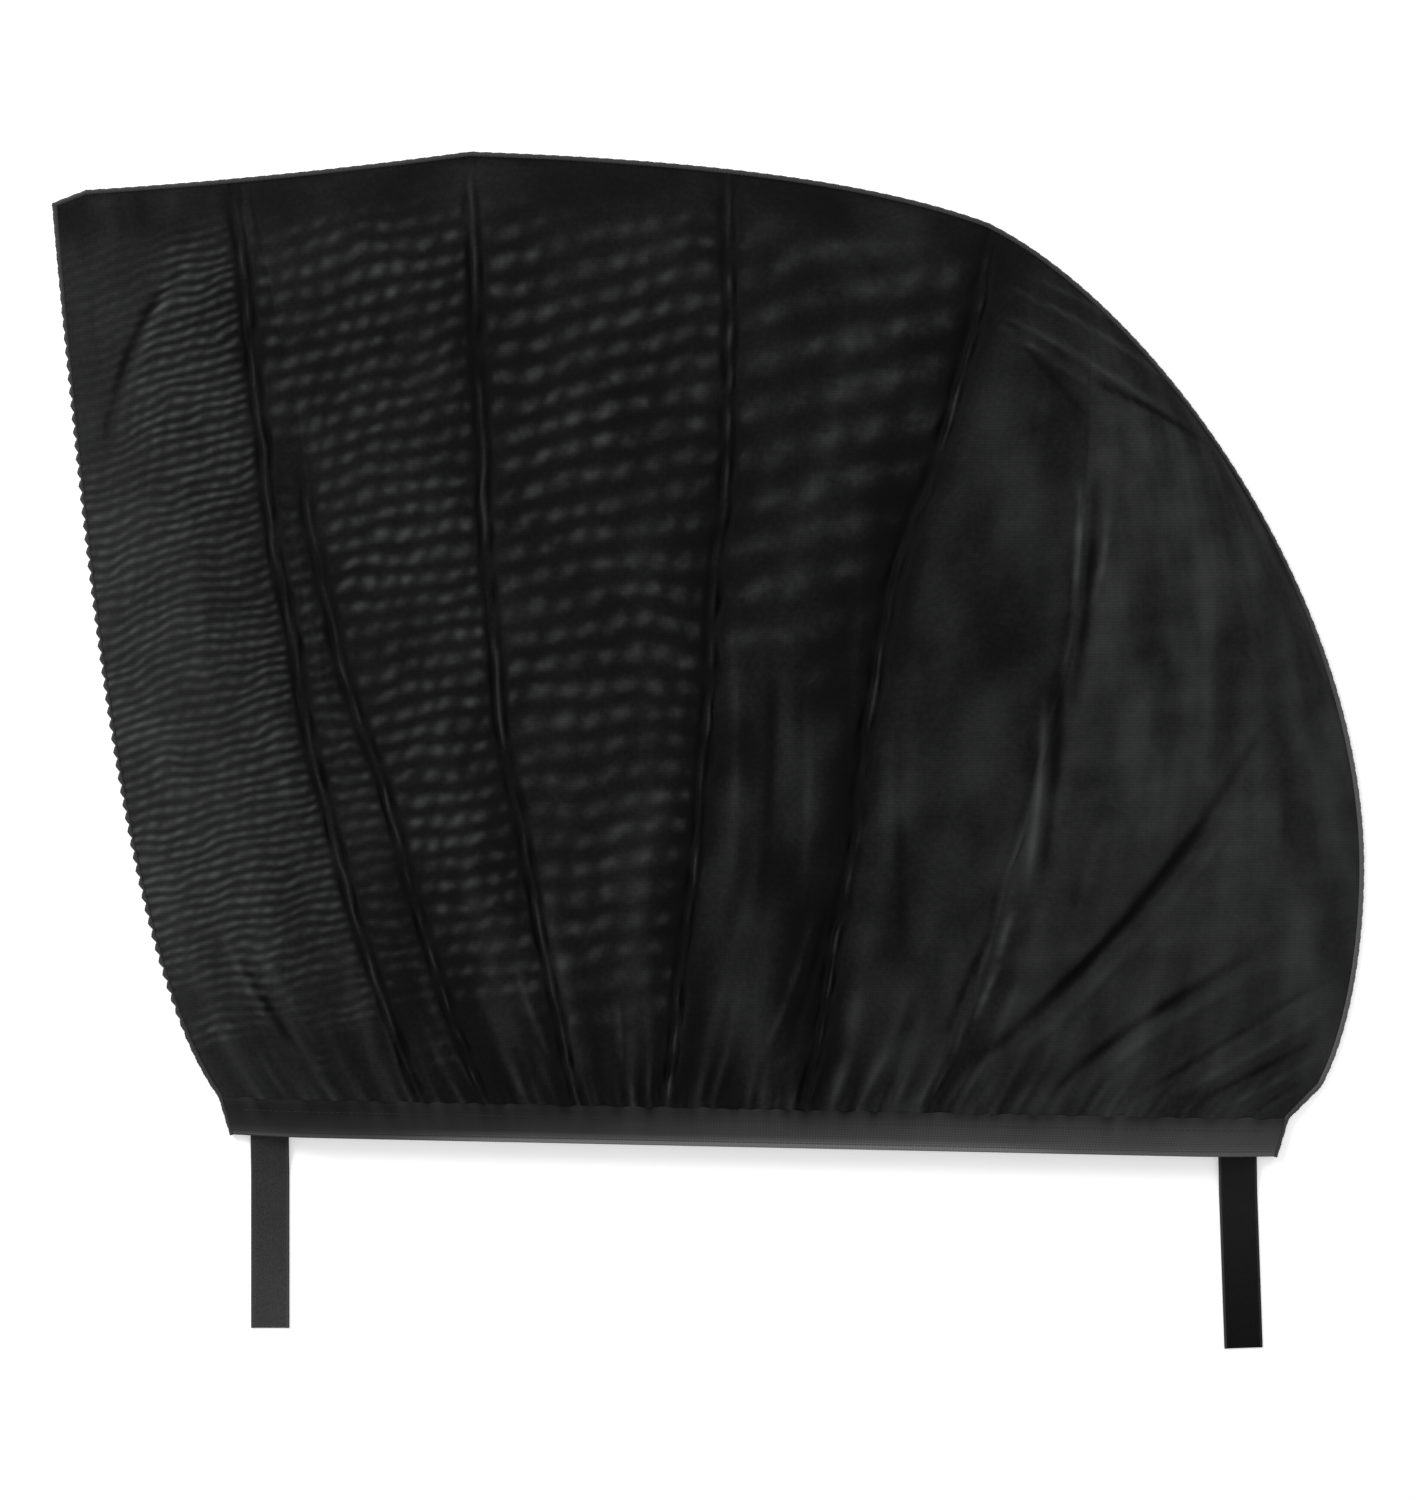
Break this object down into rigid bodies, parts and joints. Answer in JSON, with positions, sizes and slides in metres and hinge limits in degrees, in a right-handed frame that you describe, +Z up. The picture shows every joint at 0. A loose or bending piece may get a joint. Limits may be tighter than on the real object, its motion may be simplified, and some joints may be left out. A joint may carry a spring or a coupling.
{
  "type": "car side window sunshade",
  "caption": "Mesh sleeve that slips over a car door's window frame to shade the glass, with gathered front, elastic hem and hook-and-loop straps.",
  "frame": {"origin": "middle of the bounding box, on the surface that the sleeve lies on", "axes": "+Z up out of the front panel, +Y from the hem to the top edge, +X along the hem towards the rounded end"},
  "size_m": [0.6844, 0.6244, 0.0152],
  "materials": {
    "mesh_fabric": "black warp-knit polyester mesh, sheer in one layer and nearly opaque in two, soft sheen on the folds",
    "seam_thread": "black overlocked polyester thread",
    "elastic_band": "black flat knitted elastic with fine ribs along its length",
    "loop_tape": "dark grey brushed loop tape, matte",
    "hook_tape": "black nylon hook tape, slightly glossy"
  },
  "bodies": {
    "root": {"front_panel": "mesh_fabric", "back_panel": "mesh_fabric", "edge_seam": "seam_thread", "front_hem_elastic": "elastic_band", "back_hem_elastic": "elastic_band", "left_strap": "loop_tape", "right_strap": "hook_tape"}
  },
  "joints": []
}
